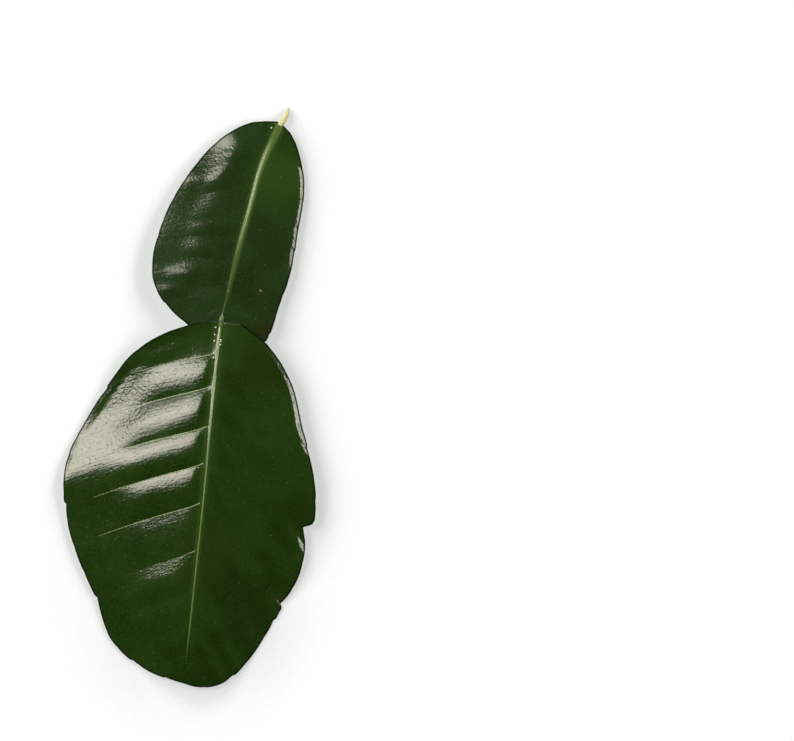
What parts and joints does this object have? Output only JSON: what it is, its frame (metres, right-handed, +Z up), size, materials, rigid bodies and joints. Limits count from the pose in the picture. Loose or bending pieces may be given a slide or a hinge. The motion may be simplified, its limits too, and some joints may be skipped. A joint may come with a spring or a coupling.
{
  "type": "kaffir lime leaf",
  "caption": "Fresh kaffir lime leaf lying flat: a glossy notched blade, a broad winged petiole like a second leaf, and a bare torn stalk.",
  "frame": {"origin": "on the surface the leaf lies on, under the middle of its box", "axes": "+Y along the leaf from the blade's tip to the stalk, +X across it to the right as seen from above, +Z up out of the glossy side"},
  "size_m": [0.0566, 0.1306, 0.0075],
  "materials": {
    "glossy_leaf": "waxy, leathery dark green leaf",
    "wing_leaf": "waxy, leathery green leaf",
    "pale_stalk": "pale cream, fibrous where it was torn"
  },
  "bodies": {
    "root": {"leaf_blade": "glossy_leaf", "petiole_wing": "wing_leaf", "petiole_stalk": "pale_stalk"}
  },
  "joints": []
}
